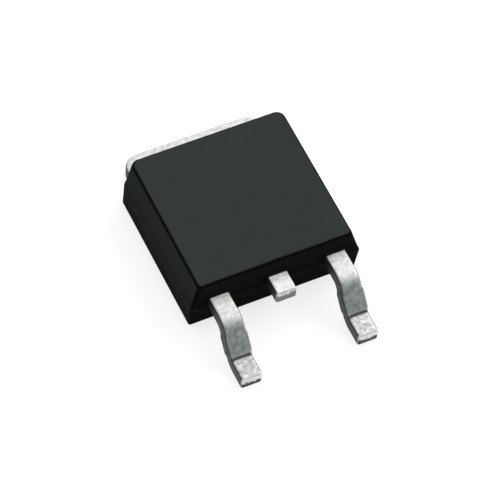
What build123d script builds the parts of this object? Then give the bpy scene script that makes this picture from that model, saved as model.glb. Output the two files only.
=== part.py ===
from build123d import *
import os
from math import cos, radians, sin, tan

# A surface-mount power mosfet in a moulded package: a flat copper drain tab, two gull-wing leads,
# a cut-off centre lead, and the chip and bond wires sealed inside the compound.
# Millimetres. The origin is on the seating plane, at the centre of the whole footprint.
# +Y points from the leads to the tab and +Z is up. Seen from above, the gate is on the left (-X).

# ---- Driving dimensions -------------------------------------------------------------------------

# Moulded body
body_width = 6.69  # across the leads, at the parting line
body_length = 6.18  # along the leads, at the parting line
cover_above_leads = 0.60  # compound between the top of the leads and the top face
mould_standoff = 0.03  # the metal stands this much proud of the compound underneath
upper_side_draft = 16.0  # degrees, left and right walls above the parting line
upper_front_draft = 6.0  # degrees, front wall above the parting line
upper_rear_draft = 2.0  # degrees, rear wall above the parting line
lower_side_draft = 2.0  # degrees, left and right walls below the parting line
lower_end_draft = 8.0  # degrees, front and rear walls below the parting line
parting_step = 0.015  # the upper mould half is this much smaller on every side
front_top_radius = 0.20  # the front corners, at the top face
front_parting_radius = 0.14  # the front corners, at the parting line
rear_top_radius = 0.33  # the rear corners, at the top face
rear_parting_radius = 0.48  # the rear corners, at the parting line
bottom_corner_radius = 0.09  # all four corners, at the underside
top_edge_radius = 0.16
bottom_edge_radius = 0.04

# Copper strip, shared by the tab and the leads
strip_thickness = 0.51
strip_edge_radius = 0.10  # the punch rolls the upper edges over and leaves the lower ones sharp
cut_edge_radius = 0.08  # the same, where the toes and the centre lead are cut off

# Leads
lead_width = 0.80
lead_spacing = 4.57  # centre to centre of the two outer leads
lead_underside = 1.16  # height of the leads where they leave the body, and of the parting line
lead_reach = 2.94  # from the body's front wall to the toes
knee_reach = 1.02  # from the front wall to the first bend
knee_radius = 0.32  # inside radius of the first bend
heel_radius = 0.20  # inside radius of the bend above the foot
lead_slope = 49.0  # degrees below horizontal, between the two bends
stub_reach = 0.83  # the cut-off centre lead, from the front wall
dam_bar_width = 0.62  # the bar that joined the leads until they were cut apart
dam_bar_setback = 0.86  # from the first bend down the slope to the middle of that bar
dam_bar_stub = 0.04  # what the cut left of it on each side of a lead
dam_bar_taper = 0.15  # length over which that stub runs out into the lead

# Bond posts at the inner ends of the leads
post_setback = 0.42  # compound between the front wall and the posts
post_length = 0.85
post_overhang = 0.25  # the posts reach this far outside the leads
gate_post_width = 1.50
source_post_width = 2.10
post_corner_radius = 0.15
lock_notch_radius = 0.10  # half-round notches that anchor each lead in the compound

# Drain tab and pad
tab_width = 5.46
tab_reach = 1.29  # from the body's rear wall to the end of the tab
tab_corner_radius = 0.60
pad_length = 5.30  # soldered length underneath, from the tab's end
ledge_width = 0.28  # the pad's upper part overhangs the soldered face on three sides
ledge_height = 0.20
ledge_setback = 0.30  # the ledge starts this far inside the rear wall
groove_width = 0.30  # V-groove across the pad that stops moisture creeping in
groove_depth = 0.12
groove_setback = 0.45
centre_lead_root = 0.15  # flat length between the pad and the rise of the centre lead
centre_lead_rise = 50.0  # degrees
centre_lead_radius = 0.25  # inside radius of its two bends

# Chip and solder
die_width = 3.10
die_length = 2.50
die_thickness = 0.22
die_setback = 0.62  # from the pad's front edge to the chip
solder_thickness = 0.05
solder_margin = 0.10  # the solder spreads this far beyond the chip

# Bond wires
gate_wire_diameter = 0.125
source_wire_diameter = 0.30
source_wire_count = 3
source_wire_pitch = 0.62
source_foot_inset = 0.75  # from the chip's front edge to the middle of the source wire feet
gate_foot_inset = 0.35  # from the chip's front and left edges to the middle of the gate foot
wire_sink = 0.15  # share of the wire's radius flattened at each welded foot
foot_lengths = 2.0  # length of a welded foot, in wire diameters
loop_rise = 0.30  # top of a wire's centre line above the posts
wire_climb = 60.0  # degrees, where a wire leaves the chip
wire_fall = 30.0  # degrees, where a wire comes down to its post

# ---- Places worked out from them ----------------------------------------------------------------

lead_top = lead_underside + strip_thickness
lead_middle = lead_underside + strip_thickness / 2
body_height = lead_top + cover_above_leads
footprint_length = lead_reach + body_length + tab_reach
toe_y = -footprint_length / 2
front_wall = toe_y + lead_reach
rear_wall = front_wall + body_length
tab_end = rear_wall + tab_reach
soldered_front = tab_end - pad_length
pad_front = soldered_front - ledge_width
lead_x = lead_spacing / 2
post_front = front_wall + post_setback
post_middle = post_front + post_length / 2
post_outer_x = lead_x + lead_width / 2 + post_overhang
die_front = pad_front + die_setback
die_middle = die_front + die_length / 2
die_base = strip_thickness + solder_thickness
die_top = die_base + die_thickness

os.makedirs("parts", exist_ok=True)


def save(piece, label):
    """Labels a finished piece and writes it to its own file."""
    piece.label = label
    export_step(piece, f"parts/{label}.step")


def strip_section(middle, width, slope=0.0):
    """The strip's cross-section round the point middle, facing forwards and down by slope radians."""
    facing = Plane(origin=middle, x_dir=(1, 0, 0), z_dir=(0, -cos(slope), -sin(slope)))
    with BuildSketch(facing) as section:
        Rectangle(width, strip_thickness)
        fillet(section.vertices().group_by(Axis.Y)[-1], strip_edge_radius)
    return section.sketch


def middle_radius(inside_radius):
    """The radius of a bend on the middle line of the strip."""
    return inside_radius + strip_thickness / 2


def cut_end_edge(part):
    """The upper edge of the cut end that reaches furthest forward."""
    cut_face = part.faces().sort_by(Axis.Y)[0]
    return cut_face.edges().sort_by(Axis.Z)[-1]


# ---- Drain tab: pad, exposed tab and centre lead in one stamping --------------------------------

with BuildPart() as drain_tab:
    # The full-width plate, from the pad's front edge to the end of the tab.
    with BuildSketch(Plane.XY) as plate_outline:
        with Locations((0, (pad_front + tab_end) / 2)):
            Rectangle(tab_width, tab_end - pad_front)
        fillet(plate_outline.vertices().group_by(Axis.Y)[-1], tab_corner_radius)
    extrude(amount=strip_thickness)
    upper_edges = drain_tab.faces().sort_by(Axis.Z)[-1].edges().sort_by(Axis.Y)
    fillet(upper_edges[1:], strip_edge_radius)  # all but the front edge, where the centre lead joins

    # The centre lead rises from the pad to the height of the other leads and is cut off short.
    rise_length = lead_underside / tan(radians(centre_lead_rise))
    rise_start = pad_front - centre_lead_root
    with BuildLine(Plane.YZ) as centre_path:
        FilletPolyline(
            (front_wall - stub_reach, lead_middle),
            (rise_start - rise_length, lead_middle),
            (rise_start, strip_thickness / 2),
            (soldered_front, strip_thickness / 2),
            radius=middle_radius(centre_lead_radius),
        )
    cut_end = (0, front_wall - stub_reach, lead_middle)
    sweep(strip_section(cut_end, lead_width), path=centre_path.wires()[0])
    fillet(cut_end_edge(drain_tab), cut_edge_radius)

    # Coining thins the pad from below on three sides, and the root of the centre lead with it, so
    # that the compound grips under it.
    ledge_rear = rear_wall - ledge_setback
    with BuildSketch(Plane.XY):
        with Locations((0, (front_wall + ledge_rear) / 2)):
            Rectangle(body_width, ledge_rear - front_wall)
        with Locations((0, (soldered_front + ledge_rear) / 2)):
            Rectangle(tab_width - 2 * ledge_width, ledge_rear - soldered_front, mode=Mode.SUBTRACT)
    extrude(amount=ledge_height, mode=Mode.SUBTRACT)

    # The moisture groove is pressed across the top, just inside the rear wall.
    with BuildSketch(Plane.YZ.offset(-tab_width / 2)):
        groove_y = rear_wall - groove_setback
        with BuildLine():
            Polyline(
                (groove_y - groove_width / 2, strip_thickness),
                (groove_y, strip_thickness - groove_depth),
                (groove_y + groove_width / 2, strip_thickness),
                close=True,
            )
        make_face()
    extrude(amount=tab_width, mode=Mode.SUBTRACT)

# ---- Gate and source leads ----------------------------------------------------------------------


def outer_lead(side, post_width):
    """One gull-wing lead with its bond post. side is -1 on the left and 1 on the right."""
    knee_y = front_wall - knee_reach
    foot_drop = lead_underside / tan(radians(lead_slope))
    with BuildPart() as lead:
        # The strip's middle line: out of the body, down the slope and along the foot.
        with BuildLine(Plane.YZ.offset(side * lead_x)) as path:
            FilletPolyline(
                (toe_y, strip_thickness / 2),
                (knee_y - foot_drop, strip_thickness / 2),
                (knee_y, lead_middle),
                (post_front + post_length / 2, lead_middle),
                radius=[middle_radius(heel_radius), middle_radius(knee_radius)],
            )
        toe = (side * lead_x, toe_y, strip_thickness / 2)
        sweep(strip_section(toe, lead_width), path=path.wires()[0])
        fillet(cut_end_edge(lead), cut_edge_radius)

        # The dam bar was cut off here, below the first bend, and left the lead a little wider.
        slope = radians(lead_slope)
        full = dam_bar_width / 2
        ends = full + dam_bar_taper
        stations = []
        for along, widening in ((-ends, 0), (-full, dam_bar_stub), (full, dam_bar_stub), (ends, 0)):
            distance = dam_bar_setback + along
            station_y = knee_y - distance * cos(slope)
            station_z = lead_middle - distance * sin(slope)
            station = (side * lead_x, station_y, station_z)
            stations.append(strip_section(station, lead_width + 2 * widening, slope))
        loft(stations, ruled=True)

        # The flat post that the bond wires are welded to.
        with BuildSketch(Plane.XY.offset(lead_underside)):
            with Locations((side * (post_outer_x - post_width / 2), post_middle)):
                RectangleRounded(post_width, post_length, post_corner_radius)
        extrude(amount=strip_thickness)

        # Notches beside the neck anchor the lead in the compound.
        notch_y = front_wall + post_setback / 2
        with BuildSketch(Plane.XY.offset(lead_underside)):
            with Locations((side * lead_x, notch_y)):
                with GridLocations(lead_width, 0, 2, 1):
                    Circle(lock_notch_radius)
        extrude(amount=strip_thickness, mode=Mode.SUBTRACT)
    return lead.part


gate_lead = outer_lead(-1, gate_post_width)
source_lead = outer_lead(1, source_post_width)

# ---- Chip and its solder ------------------------------------------------------------------------

with BuildPart() as die_attach:
    with BuildSketch(Plane.XY.offset(strip_thickness)):
        with Locations((0, die_middle)):
            Rectangle(die_width + 2 * solder_margin, die_length + 2 * solder_margin)
    with BuildSketch(Plane.XY.offset(die_base)):
        with Locations((0, die_middle)):
            Rectangle(die_width, die_length)
    loft()

with BuildPart() as silicon_die:
    with BuildSketch(Plane.XY.offset(die_base)):
        with Locations((0, die_middle)):
            Rectangle(die_width, die_length)
    extrude(amount=die_thickness)

# ---- Bond wires ---------------------------------------------------------------------------------


def bond_wire(start, end, diameter):
    """A wire in the upright plane through start, on the chip, and end, on a post (x and y)."""
    radius = diameter / 2
    foot = foot_lengths * diameter
    seat = radius * (1 - wire_sink)
    along = Vector(end[0] - start[0], end[1] - start[1], 0)
    span = along.length
    side = along.normalized().cross(Vector(0, 0, 1))
    upright = Plane(origin=(start[0], start[1], 0), x_dir=along.normalized(), z_dir=side)
    low = die_top + seat
    high = lead_top + seat
    loop = lead_top + loop_rise
    climb = (loop - low) / tan(radians(wire_climb))
    fall = (loop - high) / tan(radians(wire_fall))
    with BuildPart() as wire:
        with BuildLine(upright) as path:
            Polyline(
                (-foot / 2, low),
                (foot / 2, low),
                (foot / 2 + climb, loop),
                (span - foot / 2 - fall, loop),
                (span - foot / 2, high),
                (span + foot / 2, high),
            )
        with BuildSketch(Plane(path.line @ 0, x_dir=side, z_dir=along.normalized())):
            Circle(radius)
        sweep(path=path.wires()[0], transition=Transition.RIGHT)

        # Each welded foot is pressed flat on what it is welded to.
        with BuildSketch(upright):
            with Locations((0, die_top)):
                Rectangle(2 * foot, diameter, align=(Align.CENTER, Align.MAX))
            with Locations((span, lead_top)):
                Rectangle(1.5 * foot, diameter, align=(Align.CENTER, Align.MAX))
        extrude(amount=diameter, both=True, mode=Mode.SUBTRACT)
    return wire.part


gate_pad = (-die_width / 2 + gate_foot_inset, die_front + gate_foot_inset)
gate_post_x = -(post_outer_x - gate_post_width / 2)
gate_wire = bond_wire(gate_pad, (gate_post_x, post_middle), gate_wire_diameter)

source_post_x = post_outer_x - source_post_width / 2
source_feet_y = die_front + source_foot_inset
first_offset = -(source_wire_count - 1) * source_wire_pitch / 2
source_chip_x = die_width / 2 + first_offset - source_wire_pitch / 2
source_wires = []
for number in range(source_wire_count):
    offset_x = first_offset + number * source_wire_pitch
    start = (source_chip_x + offset_x, source_feet_y)
    end = (source_post_x + offset_x, post_middle)
    source_wires.append(bond_wire(start, end, source_wire_diameter))

# ---- Moulded body -------------------------------------------------------------------------------

def body_outline(height, width, front, rear, front_radius, rear_radius):
    """The body's outline at one height, between its front and rear walls there."""
    with BuildSketch(Plane.XY.offset(height)) as outline:
        with Locations((0, (front + rear) / 2)):
            Rectangle(width, rear - front)
        front_corners = outline.vertices().group_by(Axis.Y)[0]
        fillet(front_corners, front_radius)
        rear_corners = outline.vertices().group_by(Axis.Y)[-1]
        fillet(rear_corners, rear_radius)
    return outline.sketch


with BuildPart() as mould_body:
    # Lower half: from the underside out to the parting line.
    lower_height = lead_underside - mould_standoff
    lower_side = lower_height * tan(radians(lower_side_draft))
    lower_end = lower_height * tan(radians(lower_end_draft))
    underside = body_outline(
        mould_standoff,
        body_width - 2 * lower_side,
        front_wall + lower_end,
        rear_wall - lower_end,
        bottom_corner_radius,
        bottom_corner_radius,
    )
    lower_parting = body_outline(
        lead_underside,
        body_width,
        front_wall,
        rear_wall,
        front_parting_radius,
        rear_parting_radius,
    )
    loft([underside, lower_parting])
    fillet(mould_body.faces().sort_by(Axis.Z)[0].edges(), bottom_edge_radius)

    # Upper half: from the parting line in to the top face.
    upper_height = body_height - lead_underside
    upper_side = upper_height * tan(radians(upper_side_draft))
    upper_front = upper_height * tan(radians(upper_front_draft))
    upper_rear = upper_height * tan(radians(upper_rear_draft))
    upper_parting = body_outline(
        lead_underside,
        body_width - 2 * parting_step,
        front_wall + parting_step,
        rear_wall - parting_step,
        front_parting_radius,
        rear_parting_radius,
    )
    top_face = body_outline(
        body_height,
        body_width - 2 * (parting_step + upper_side),
        front_wall + parting_step + upper_front,
        rear_wall - parting_step - upper_rear,
        front_top_radius,
        rear_top_radius,
    )
    loft([upper_parting, top_face])
    fillet(mould_body.faces().sort_by(Axis.Z)[-1].edges(), top_edge_radius)

    # The compound flowed round everything it seals in.
    for inner in (drain_tab.part, gate_lead, source_lead, die_attach.part, silicon_die.part):
        add(inner, mode=Mode.SUBTRACT)
    for wire in (gate_wire, *source_wires):
        add(wire, mode=Mode.SUBTRACT)

# ---- Write the pieces ---------------------------------------------------------------------------

save(mould_body.part, "mould_body")
save(drain_tab.part, "drain_tab")
save(gate_lead, "gate_lead")
save(source_lead, "source_lead")
save(silicon_die.part, "silicon_die")
save(die_attach.part, "die_attach")
save(gate_wire, "gate_bond_wire")
for number, wire in enumerate(source_wires, start=1):
    save(wire, f"source_bond_wire_{number}")
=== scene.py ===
"""A surface-mount mosfet in a moulded package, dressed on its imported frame. Metres."""

from math import cos, radians, sin

import bpy
from mathutils import Matrix, Vector


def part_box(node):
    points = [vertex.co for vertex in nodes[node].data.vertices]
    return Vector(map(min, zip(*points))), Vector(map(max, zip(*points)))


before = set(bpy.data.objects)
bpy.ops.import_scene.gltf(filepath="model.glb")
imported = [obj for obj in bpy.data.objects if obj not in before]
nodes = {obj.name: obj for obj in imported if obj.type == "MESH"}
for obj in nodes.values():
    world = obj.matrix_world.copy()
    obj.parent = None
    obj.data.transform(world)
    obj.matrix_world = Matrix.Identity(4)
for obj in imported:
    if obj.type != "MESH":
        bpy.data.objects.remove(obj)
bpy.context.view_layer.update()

# ---- Tinned strip: drain tab, gate lead and source lead -----------------------------------------
# Stamped from one copper strip, bent, and plated with matt tin after moulding. The plating is a
# patchwork of fine crystals; its sheared sides are painted dark as shade. The toes and the centre
# lead were cut free after plating: the cutter dragged tin over the upper part of each end, painted
# whiter there as a highlight, and left it bare below.

strip_thickness = 5.1e-4
stub_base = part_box("drain_tab")[1][2] - strip_thickness
stub_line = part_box("drain_tab")[0][1]
stub_half = 1.0e-3  # the centre lead lies nearer than this to the middle, the outer leads beyond
toe_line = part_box("gate_lead")[0][1]
front_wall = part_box("mould_body")[0][1]
tab_finish_fade = 1.0e-3  # behind the middle, inside the body, where the tab's finish takes over
above_feet = 2.0 * strip_thickness  # over the pad and the feet, and under the top of the leads
root_band_width = 3.0e-5  # the dark band on top of the leads is about this wide, beside the body's wall
dust_start = 2.0e-4  # from the body's wall, where the moulding dust on the leads begins to fade
dust_end = 5.0e-4
side_shade_start = 2.6e-4  # the same for the painted shade that darkens their sheared sides further
side_shade_end = 1.1e-3
cut_reach = 1.0e-4  # from a cut end, how far the cutter dragged the tin
cut_fade = 1.8e-4
heel_crease = 8.6e-4  # from the toe to the fold line at the inside of the heel
foot_shade_fade = 1.0e-4  # the feet's painted shade ends within this much of the fold line
fold_width = 5.5e-5
lip_height = 2.0e-6


def put(tree, kind, settings=None, **inputs):
    """One shader node. settings are its own properties. inputs fill its sockets, named with _ for
    a space, each with a value or with the output socket of another node."""
    node = tree.nodes.new("ShaderNode" + kind)
    for name, value in (settings or {}).items():
        setattr(node, name, value)
    for name, value in inputs.items():
        fill(tree, node.inputs[name.replace("_", " ")], value)
    return node


def fill(tree, socket, value):
    """Links an output socket to the given input socket, or sets it to a plain value."""
    if isinstance(value, bpy.types.NodeSocket):
        tree.links.new(value, socket)
    else:
        socket.default_value = value


def calc(tree, operation, first, second=0.0, third=0.0, clamp=False):
    """The result of one Math node."""
    node = tree.nodes.new("ShaderNodeMath")
    node.operation = operation
    node.use_clamp = clamp
    for socket, value in zip(node.inputs, (first, second, third)):
        fill(tree, socket, value)
    return node.outputs[0]


def between(tree, value, low, high, start=0.0, end=1.0):
    """value carried smoothly from low..high to start..end, and held outside that range."""
    node = put(tree, "MapRange", {"interpolation_type": "SMOOTHSTEP"}, Value=value)
    for name, number in (("From Min", low), ("From Max", high), ("To Min", start), ("To Max", end)):
        fill(tree, node.inputs[name], number)
    return node.outputs["Result"]


def both(tree, first, second):
    """Where both masks hold: their product."""
    return calc(tree, "MULTIPLY", first, second)


def either(tree, first, second):
    """Where either mask holds: the larger."""
    return calc(tree, "MAXIMUM", first, second)


def blend(tree, share, first, second):
    """Two colours mixed: first where share is 0, second where it is 1. A colour is red, green and
    blue, or an output socket."""
    node = tree.nodes.new("ShaderNodeMix")
    node.data_type = "RGBA"
    fill(tree, node.inputs["Factor"], share)
    for name, colour in (("A", first), ("B", second)):
        plain = isinstance(colour, tuple)
        fill(tree, node.inputs[name], (*colour, 1.0) if plain else colour)
    return node.outputs["Result"]


def facing_and_place(tree):
    """The parts of the surface's normal, and of its place, along the object's own axes."""
    given = put(tree, "TexCoord").outputs
    normal = put(tree, "SeparateXYZ", Vector=given["Normal"]).outputs
    place = put(tree, "SeparateXYZ", Vector=given["Object"]).outputs
    return normal, place


def make_group(name, inputs, output):
    """An empty shader node group with float inputs {name: default} and one float output. Returns
    the tree, its input node's sockets and the socket to fill."""
    tree = bpy.data.node_groups.new(name, "ShaderNodeTree")
    for label, default in inputs.items():
        socket = tree.interface.new_socket(label, in_out="INPUT", socket_type="NodeSocketFloat")
        socket.default_value = default
    tree.interface.new_socket(output, in_out="OUTPUT", socket_type="NodeSocketFloat")
    given = tree.nodes.new("NodeGroupInput").outputs
    return tree, given, tree.nodes.new("NodeGroupOutput").inputs[output]


def use_group(tree, group, **inputs):
    """Places a node group in a material and returns its output."""
    node = tree.nodes.new("ShaderNodeGroup")
    node.node_tree = group
    for name, value in inputs.items():
        fill(tree, node.inputs[name.replace("_", " ")], value)
    return node.outputs[0]


def make_patches():
    """Soft cloudy patches, 0 to 1: fractal noise in object space, Size metres across, its middle
    spread by Contrast."""
    tree, given, mask = make_group("soft_patches", {"Size": 1e-4, "Contrast": 1.0}, "Mask")
    place = put(tree, "TexCoord").outputs["Object"]
    rate = calc(tree, "DIVIDE", 1.0, given["Size"])
    noise = put(tree, "TexNoise", Vector=place, Scale=rate, Detail=3.0)
    spread = calc(tree, "MULTIPLY", calc(tree, "SUBTRACT", noise.outputs[0], 0.5), given["Contrast"])
    fill(tree, mask, calc(tree, "ADD", spread, 0.5, clamp=True))
    return tree


def make_grain():
    """Fine crystals or moulding grain: the distance to the nearest cell centre, cells Size metres
    across, with noise at half that size on top. The height is in metres once times Depth."""
    tree, given, height = make_group("fine_grain", {"Size": 3e-5, "Depth": 1e-6}, "Height")
    place = put(tree, "TexCoord").outputs["Object"]
    rate = calc(tree, "DIVIDE", 1.0, given["Size"])
    cells = put(tree, "TexVoronoi", Vector=place, Scale=rate)
    noise = put(tree, "TexNoise", Vector=place, Scale=calc(tree, "MULTIPLY", rate, 2.0), Detail=2.0)
    total = calc(tree, "ADD", cells.outputs["Distance"], noise.outputs[0])
    fill(tree, height, calc(tree, "MULTIPLY", total, given["Depth"]))
    return tree


patches = make_patches()
grain = make_grain()


def start_material(name):
    """A new node material with only its Principled BSDF and output. Returns it, its tree and the
    shader node."""
    material = bpy.data.materials.new(name)
    material.use_nodes = True
    return material, material.node_tree, material.node_tree.nodes["Principled BSDF"]


def add_tin(tree, tone, on_stub, normal, place):
    """Tin on the faces of the strip: mottled on the flats and whiter on the centre lead. The slopes
    are painted darker as shade, and greener and more even. The feet are painted darker as shade, to
    even out their light with the flats, and more mottled. Returns the colour."""
    colour = blend(tree, tone, (0.52, 0.53, 0.51), (0.82, 0.83, 0.81))
    centre_lead_tin = blend(tree, tone, (0.64, 0.65, 0.64), (0.92, 0.93, 0.92))
    colour = blend(tree, on_stub, colour, centre_lead_tin)
    fold_line = toe_line + heel_crease
    off_foot = between(tree, place["Y"], fold_line - foot_shade_fade, fold_line + foot_shade_fade)
    # painted shade: the feet's tin is darker, to even out their light with the flats', and more
    # mottled
    painted_foot_shade_tin = blend(tree, tone, (0.33, 0.335, 0.32), (0.84, 0.845, 0.83))
    colour = blend(tree, off_foot, painted_foot_shade_tin, colour)
    # painted shade: the slopes' tin is darker than the flats'
    painted_slope_shade_tin = blend(tree, tone, (0.49, 0.535, 0.495), (0.74, 0.79, 0.745))
    on_slope = between(tree, calc(tree, "ABSOLUTE", normal["Z"]), 0.93, 0.75)
    return blend(tree, on_slope, colour, painted_slope_shade_tin)


def add_crease_shade(tree, colour, normal, place):
    """Painted shade in the crease across the inside of each heel, with a raised lip above it that is
    painted bright as a highlight. Returns the colour and the mask of the lip."""
    beyond_crease = calc(tree, "SUBTRACT", place["Y"], toe_line + heel_crease)
    on_top = between(tree, normal["Z"], 0.5, 0.6)
    off_lip = calc(tree, "ABSOLUTE", calc(tree, "SUBTRACT", beyond_crease, 1.2 * fold_width))
    lip = both(tree, between(tree, off_lip, 0.0, 0.6 * fold_width, 1.0, 0.0), on_top)
    # painted highlight along the lip
    colour = blend(tree, calc(tree, "MULTIPLY", lip, 0.6), colour, (0.90, 0.91, 0.89))
    # painted shade in the heel crease
    off_crease = calc(tree, "ABSOLUTE", beyond_crease)
    fold = both(tree, between(tree, off_crease, 1.0e-5, fold_width, 0.8, 0.0), on_top)
    return blend(tree, fold, colour, (0.055, 0.052, 0.048)), lip


def add_side_shade(tree, colour, fleck, normal, place):
    """Sides where the strip was sheared, painted dark as shade, and painted darker still near the
    body. Returns the colour and the mask of the sides."""
    upright = between(tree, calc(tree, "ABSOLUTE", normal["Z"]), 0.40, 0.80, 1.0, 0.0)
    on_tab = between(tree, place["Y"], 0.0, tab_finish_fade)
    sideways = between(tree, calc(tree, "ABSOLUTE", normal["X"]), 0.25, 0.80)
    sides = either(tree, both(tree, upright, on_tab), sideways)
    # painted shade: the sheared sides are darkened, darkest near the body
    painted_side_shade = blend(tree, fleck, (0.045, 0.046, 0.043), (0.090, 0.091, 0.088))
    painted_shade_near_body = blend(tree, fleck, (0.010, 0.011, 0.011), (0.030, 0.031, 0.030))
    off_wall = calc(tree, "ABSOLUTE", calc(tree, "SUBTRACT", place["Y"], front_wall))
    near_body = between(tree, off_wall, side_shade_start, side_shade_end, 1.0, 0.0)
    return blend(tree, sides, colour, blend(tree, near_body, painted_side_shade, painted_shade_near_body)), sides


def add_cut_ends(tree, colour, tone, fleck, cloud, on_stub, normal, place):
    """The cut ends of the toes and of the centre lead: tin dragged down over their rounded upper
    part and painted whiter there as a highlight, then an uneven line, and bare metal below it,
    copper-brown on the toes and greyer and higher on the centre lead. Returns the colour and the
    mask of the rounded upper part."""
    end_line = calc(tree, "MULTIPLY_ADD", on_stub, stub_line - toe_line, toe_line)
    from_end = calc(tree, "SUBTRACT", place["Y"], end_line)
    at_end = between(tree, from_end, cut_reach, cut_fade, 1.0, 0.0)
    # painted highlight: the dragged tin on the rounded upper part is whiter than the rest
    dragged = both(tree, between(tree, normal["Y"], -0.10, -0.40), at_end)
    colour = blend(tree, dragged, colour, blend(tree, tone, (0.76, 0.77, 0.75), (0.92, 0.93, 0.91)))

    base = stub_base + 0.22 * strip_thickness
    height = calc(tree, "MULTIPLY_ADD", on_stub, -base, place["Z"])
    height = calc(tree, "MULTIPLY_ADD", cloud, 0.26 * strip_thickness, height)
    torn = between(tree, height, 0.43 * strip_thickness, 0.75 * strip_thickness, 1.0, 0.0)
    torn = both(tree, both(tree, torn, between(tree, normal["Y"], -0.40, -0.75)), at_end)
    toe_copper = blend(tree, fleck, (0.035, 0.033, 0.030), (0.075, 0.071, 0.066))
    stub_metal = blend(tree, fleck, (0.14, 0.14, 0.14), (0.26, 0.26, 0.255))
    colour = blend(tree, torn, colour, blend(tree, on_stub, toe_copper, stub_metal))
    return colour, both(tree, between(tree, normal["Z"], 0.15, 0.45), dragged)


def tinned_strip():
    """The plated strip: tin, the painted shade of its heel creases, its sheared sides painted dark as
    shade, its cut ends, and a dark band on the leads where they leave the body. Less metallic on
    the sides, the band, the rolled ends and near the body."""
    material, tree, shader = start_material("tin_plating")
    normal, place = facing_and_place(tree)
    cloud = use_group(tree, patches, Size=1.5e-4, Contrast=3.2)
    fleck = use_group(tree, patches, Size=4.0e-5, Contrast=1.6)
    tone = calc(tree, "MULTIPLY_ADD", cloud, 0.75, calc(tree, "MULTIPLY", fleck, 0.25))
    near_middle = calc(tree, "LESS_THAN", calc(tree, "ABSOLUTE", place["X"]), stub_half)
    on_stub = both(tree, near_middle, calc(tree, "LESS_THAN", place["Y"], 0.0))
    colour = add_tin(tree, tone, on_stub, normal, place)
    colour, lip = add_crease_shade(tree, colour, normal, place)
    colour, sides = add_side_shade(tree, colour, fleck, normal, place)
    colour, rolled = add_cut_ends(tree, colour, tone, fleck, cloud, on_stub, normal, place)

    # a dark band on the top of the leads where they leave the body
    dark_root_band = between(tree, place["Y"], front_wall - 2 * root_band_width, front_wall - root_band_width)
    dark_root_band = both(tree, dark_root_band, calc(tree, "GREATER_THAN", place["Z"], above_feet))
    colour = blend(tree, dark_root_band, colour, (0.010, 0.012, 0.011))
    off_wall = calc(tree, "SUBTRACT", front_wall, place["Y"])
    near_body = between(tree, calc(tree, "ABSOLUTE", off_wall), dust_start, dust_end, 0.8, 0.0)
    dusty = either(tree, either(tree, sides, dark_root_band), either(tree, rolled, near_body))

    gloss = calc(tree, "MULTIPLY_ADD", tone, 0.14, 0.32)
    gloss = calc(tree, "MULTIPLY_ADD", sides, 0.10, gloss)
    crystals = use_group(tree, grain, Size=3.0e-5, Depth=1.2e-6)
    height = calc(tree, "MULTIPLY_ADD", lip, lip_height, crystals)
    bump = put(tree, "Bump", Strength=0.6, Distance=1.0, Height=height)
    fill(tree, shader.inputs["Base Color"], colour)
    fill(tree, shader.inputs["Roughness"], gloss)
    fill(tree, shader.inputs["Metallic"], between(tree, dusty, 0.0, 1.0, 0.75, 0.2))
    fill(tree, shader.inputs["Normal"], bump.outputs[0])
    shader.inputs["Specular IOR Level"].default_value = 0.1
    return material


def dress(names, material):
    """Gives the named frame nodes one material in all their slots."""
    for name in names:
        data = nodes[name].data
        data.materials.clear()
        data.materials.append(material)


dress(["drain_tab", "gate_lead", "source_lead"], tinned_strip())

# ---- Chip, solder and bond wires ----------------------------------------------------------------
# Sealed inside the compound: a polished silicon chip with an aluminium top, the soft solder that
# holds it on the pad, and drawn aluminium wires wedge-bonded to the chip and the posts.


def silicon():
    """Polished chip: dark blue-grey and faintly chipped at its sawn sides, with a brighter metal
    top, which is lightly pitted."""
    material, tree, shader = start_material("chip_silicon")
    normal = facing_and_place(tree)[0]
    speck = use_group(tree, patches, Size=3.0e-5, Contrast=2.0)
    pits = use_group(tree, grain, Size=1.5e-5, Depth=3.0e-7)
    sawn = blend(tree, speck, (0.10, 0.11, 0.13), (0.16, 0.17, 0.20))
    metal = blend(tree, speck, (0.70, 0.71, 0.74), (0.82, 0.83, 0.85))
    on_top = between(tree, normal["Z"], 0.7, 0.9)
    bump = put(tree, "Bump", Strength=0.4, Distance=1.0, Height=pits)
    fill(tree, shader.inputs["Base Color"], blend(tree, on_top, sawn, metal))
    fill(tree, shader.inputs["Roughness"], calc(tree, "MULTIPLY_ADD", speck, 0.10, 0.12))
    fill(tree, shader.inputs["Normal"], bump.outputs[0])
    shader.inputs["Metallic"].default_value = 1.0
    return material


def soft_solder():
    """Grey lead-tin solder, frozen with a slightly rough skin."""
    material, tree, shader = start_material("soft_solder")
    cloud = use_group(tree, patches, Size=9.0e-5, Contrast=2.4)
    skin = use_group(tree, grain, Size=4.0e-5, Depth=1.5e-6)
    bump = put(tree, "Bump", Strength=0.6, Distance=1.0, Height=skin)
    fill(tree, shader.inputs["Base Color"], blend(tree, cloud, (0.42, 0.42, 0.43), (0.60, 0.60, 0.61)))
    fill(tree, shader.inputs["Roughness"], calc(tree, "MULTIPLY_ADD", cloud, 0.15, 0.35))
    fill(tree, shader.inputs["Normal"], bump.outputs[0])
    shader.inputs["Metallic"].default_value = 1.0
    return material


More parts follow.
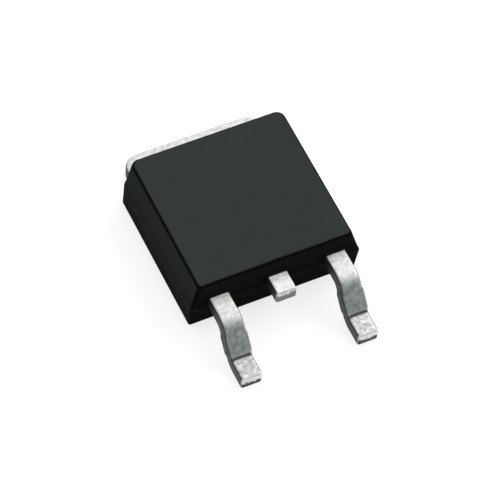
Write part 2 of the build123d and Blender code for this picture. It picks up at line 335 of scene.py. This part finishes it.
def drawn_aluminium():
    """Bright drawn wire with faint scuffs and the fine grain of the die."""
    material, tree, shader = start_material("drawn_aluminium")
    scuff = use_group(tree, patches, Size=6.0e-5, Contrast=3.0)
    die_grain = use_group(tree, grain, Size=1.2e-5, Depth=3.0e-7)
    bump = put(tree, "Bump", Strength=0.4, Distance=1.0, Height=die_grain)
    fill(tree, shader.inputs["Base Color"], blend(tree, scuff, (0.78, 0.78, 0.79), (0.90, 0.90, 0.91)))
    fill(tree, shader.inputs["Roughness"], calc(tree, "MULTIPLY_ADD", scuff, 0.14, 0.18))
    fill(tree, shader.inputs["Normal"], bump.outputs[0])
    shader.inputs["Metallic"].default_value = 1.0
    return material


dress(["silicon_die"], silicon())
dress(["die_attach"], soft_solder())
dress(["gate_bond_wire"] + [f"source_bond_wire_{n}" for n in (1, 2, 3)], drawn_aluminium())

# ---- Moulded body -------------------------------------------------------------------------------
# Black epoxy compound, filled with silica and carbon and pressed round the strip in a steel tool.
# The tool's top is spark-eroded, so the top face is grainy. Its walls and rounded edges are painted
# darker as shade, most of all the wall that the leads leave, the rounded edges and the walls' foot.

body_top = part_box("mould_body")[1][2]
foot_line = 1.0e-4  # the walls' painted shade is darkest up to this height
shoulder_line = 0.84 * body_top  # and palest from this height on


def rounded_edges(tree, normal, draft, gain):
    """1 on the rounded edges of a squared piece and 0 on its flats: how far the largest part of
    the normal along one axis falls short of 1, less draft, spread by gain."""
    parts = [calc(tree, "ABSOLUTE", normal[axis]) for axis in "XYZ"]
    largest = either(tree, either(tree, parts[0], parts[1]), parts[2])
    short = calc(tree, "SUBTRACT", 1.0 - draft, largest)
    return calc(tree, "MULTIPLY", short, gain, clamp=True)


def moulding_compound():
    """Satin black epoxy: fine mould grain and flow clouds in tone and gloss on the top, walls painted
    darker as shade towards the foot, and the darkest painted shade on the rounded edges."""
    material, tree, shader = start_material("moulding_compound")
    normal, place = facing_and_place(tree)
    flow = use_group(tree, patches, Size=1.5e-3, Contrast=1.4)
    speck = use_group(tree, patches, Size=5.0e-5, Contrast=1.6)
    tone = calc(tree, "MULTIPLY_ADD", flow, 0.6, calc(tree, "MULTIPLY", speck, 0.4))
    colour = blend(tree, tone, (0.033, 0.038, 0.0355), (0.037, 0.042, 0.0395))

    # painted shade: the walls are darker than the top, darkest at their foot and on the wall the leads
    # leave
    up_the_wall = between(tree, place["Z"], foot_line, shoulder_line)
    foot = blend(tree, tone, (0.003, 0.0045, 0.004), (0.005, 0.0065, 0.006))
    painted_upper_wall_shade = blend(tree, tone, (0.021, 0.0255, 0.0245), (0.027, 0.0315, 0.0305))
    painted_wall_shade = blend(tree, up_the_wall, foot, painted_upper_wall_shade)
    painted_front_wall_shade = blend(tree, up_the_wall, foot, (0.014, 0.0165, 0.016))
    painted_wall_shade = blend(tree, between(tree, normal["Y"], -0.75, -0.95), painted_wall_shade, painted_front_wall_shade)
    on_wall = between(tree, calc(tree, "ABSOLUTE", normal["Z"]), 0.95, 0.60)
    colour = blend(tree, on_wall, colour, painted_wall_shade)

    # painted shade on the rounded edges and along the foot of the walls, where the body meets the
    # floor
    edge = rounded_edges(tree, normal, 0.05, 15.0)
    edge = either(tree, edge, between(tree, place["Z"], 6.0e-5, 1.6e-4, 1.0, 0.0))
    painted_edge_shade = blend(tree, speck, (0.003, 0.004, 0.004), (0.005, 0.006, 0.006))
    colour = blend(tree, edge, colour, painted_edge_shade)

    gloss = calc(tree, "MULTIPLY_ADD", tone, 0.08, 0.80)
    gloss = calc(tree, "MULTIPLY_ADD", edge, -0.10, gloss)
    pits = use_group(tree, grain, Size=4.5e-5, Depth=1.5e-6)
    bump = put(tree, "Bump", Strength=0.5, Distance=1.0, Height=pits)
    fill(tree, shader.inputs["Base Color"], colour)
    fill(tree, shader.inputs["Roughness"], gloss)
    fill(tree, shader.inputs["Normal"], bump.outputs[0])
    shader.inputs["Specular IOR Level"].default_value = 0.02
    return material


dress(["mould_body"], moulding_compound())

# ---- Floor, light and camera --------------------------------------------------------------------
# A pale table under a white world, with one large soft lamp to the right. A black flag and a card
# that brightens upwards stand in front, out of view, to shade the metal. The table is see-through
# from below, so that the underside can be looked at.

floor_span = 3.0
floor_level = -2.0e-6
floor_lift = 0.72
floor_corners = [(-1, -1), (1, -1), (1, 1), (-1, 1)]
floor_mesh = bpy.data.meshes.new("floor")
floor_mesh.from_pydata(
    [(x * floor_span / 2, y * floor_span / 2, floor_level) for x, y in floor_corners],
    [],
    [(0, 1, 2, 3)],
)
floor = bpy.data.objects.new("floor", floor_mesh)
bpy.context.collection.objects.link(floor)


def pale_floor():
    """Matt pale table with a faint cloudy tone, lifted to white where the camera, metal or glass
    sees it, and clear from below."""
    material, tree, shader = start_material("pale_floor")
    cloud = use_group(tree, patches, Size=6.0e-2, Contrast=1.0)
    rays = put(tree, "LightPath").outputs
    seen = either(tree, rays["Is Camera Ray"], rays["Is Glossy Ray"])
    seen = either(tree, seen, rays["Is Transmission Ray"])
    fill(tree, shader.inputs["Base Color"], blend(tree, cloud, (0.395,) * 3, (0.405,) * 3))
    fill(tree, shader.inputs["Emission Strength"], calc(tree, "MULTIPLY", seen, floor_lift))
    shader.inputs["Roughness"].default_value = 0.9
    shader.inputs["Specular IOR Level"].default_value = 0.0
    shader.inputs["Emission Color"].default_value = (1.0, 1.0, 1.0, 1.0)
    clear = put(tree, "BsdfTransparent").outputs[0]
    mix = tree.nodes.new("ShaderNodeMixShader")
    fill(tree, mix.inputs[0], put(tree, "NewGeometry").outputs["Backfacing"])
    fill(tree, mix.inputs[1], shader.outputs[0])
    fill(tree, mix.inputs[2], clear)
    fill(tree, tree.nodes["Material Output"].inputs["Surface"], mix.outputs[0])
    return material


floor_mesh.materials.append(pale_floor())

world = bpy.data.worlds.new("studio")
bpy.context.scene.world = world
world.use_nodes = True
sky = world.node_tree.nodes["Background"]
sky.inputs["Color"].default_value = (1.0, 1.0, 1.0, 1.0)
sky.inputs["Strength"].default_value = 1.0


def area_lamp(name, place, size, power):
    """A square soft lamp at place, facing the object."""
    lamp = bpy.data.lights.new(name, "AREA")
    lamp.shape = "SQUARE"
    lamp.size = size
    lamp.energy = power
    holder = bpy.data.objects.new(name, lamp)
    facing = Vector(place).to_track_quat("Z", "Y").to_matrix().to_4x4()
    holder.matrix_world = Matrix.Translation(place) @ facing
    bpy.context.collection.objects.link(holder)


area_lamp("softbox", (0.24, 0.035, 0.18), 0.30, 0.48)


def studio_card(name, corners, low_level, high_level):
    """A flat card that only lights or darkens the object, and that no camera sees. Its light rises
    smoothly from low_level at its foot to high_level at its top."""
    data = bpy.data.meshes.new(name)
    data.from_pydata(corners, [], [(0, 1, 2, 3)])
    card = bpy.data.objects.new(name, data)
    bpy.context.collection.objects.link(card)
    card.visible_camera = False
    material, tree, shader = start_material(name)
    height = put(tree, "SeparateXYZ", Vector=put(tree, "TexCoord").outputs["Object"]).outputs["Z"]
    level = between(tree, height, corners[0][2], corners[2][2], low_level, high_level)
    fill(tree, shader.inputs["Emission Strength"], level)
    shader.inputs["Base Color"].default_value = (0.0, 0.0, 0.0, 1.0)
    shader.inputs["Specular IOR Level"].default_value = 0.0
    shader.inputs["Emission Color"].default_value = (1.0, 1.0, 1.0, 1.0)
    data.materials.append(material)


def upright(first, second, foot, top):
    """The corners of an upright card from the floor point first to the floor point second."""
    return [(*first, foot), (*second, foot), (*second, top), (*first, top)]


studio_card("front_flag", upright((-0.30, -0.14), (0.30, -0.14), 0.001, 0.32), 0.0, 0.0)
studio_card("front_card", upright((-0.06, -0.13), (0.15, -0.13), 0.015, 0.31), 0.05, 0.90)

camera_azimuth = radians(29.753)
camera_elevation = radians(55.738)
camera_roll = radians(5.532)
camera_distance = 0.11525
camera_target = Vector((0.0, -0.000085, 0.0010))
target_aside = 0.0000010
target_below = 0.000468

ahead_x = sin(camera_azimuth) * cos(camera_elevation)
ahead_y = cos(camera_azimuth) * cos(camera_elevation)
back = Vector((-ahead_x, -ahead_y, sin(camera_elevation)))
level_right = Vector((cos(camera_azimuth), -sin(camera_azimuth), 0.0))
level_up = back.cross(level_right)
right = level_right * cos(camera_roll) + level_up * sin(camera_roll)
up = level_up * cos(camera_roll) - level_right * sin(camera_roll)
stand = camera_target + back * camera_distance - right * target_aside - up * target_below

lens = bpy.data.cameras.new("camera")
lens.sensor_width = 36.0
lens.lens = 231.2
lens.clip_start = 0.005
lens.clip_end = 10.0
camera = bpy.data.objects.new("camera", lens)
camera.matrix_world = Matrix(
    [[right[i], up[i], back[i], stand[i]] for i in range(3)] + [[0.0, 0.0, 0.0, 1.0]]
)
bpy.context.collection.objects.link(camera)
bpy.context.scene.camera = camera
bpy.context.scene.view_settings.view_transform = "Standard"
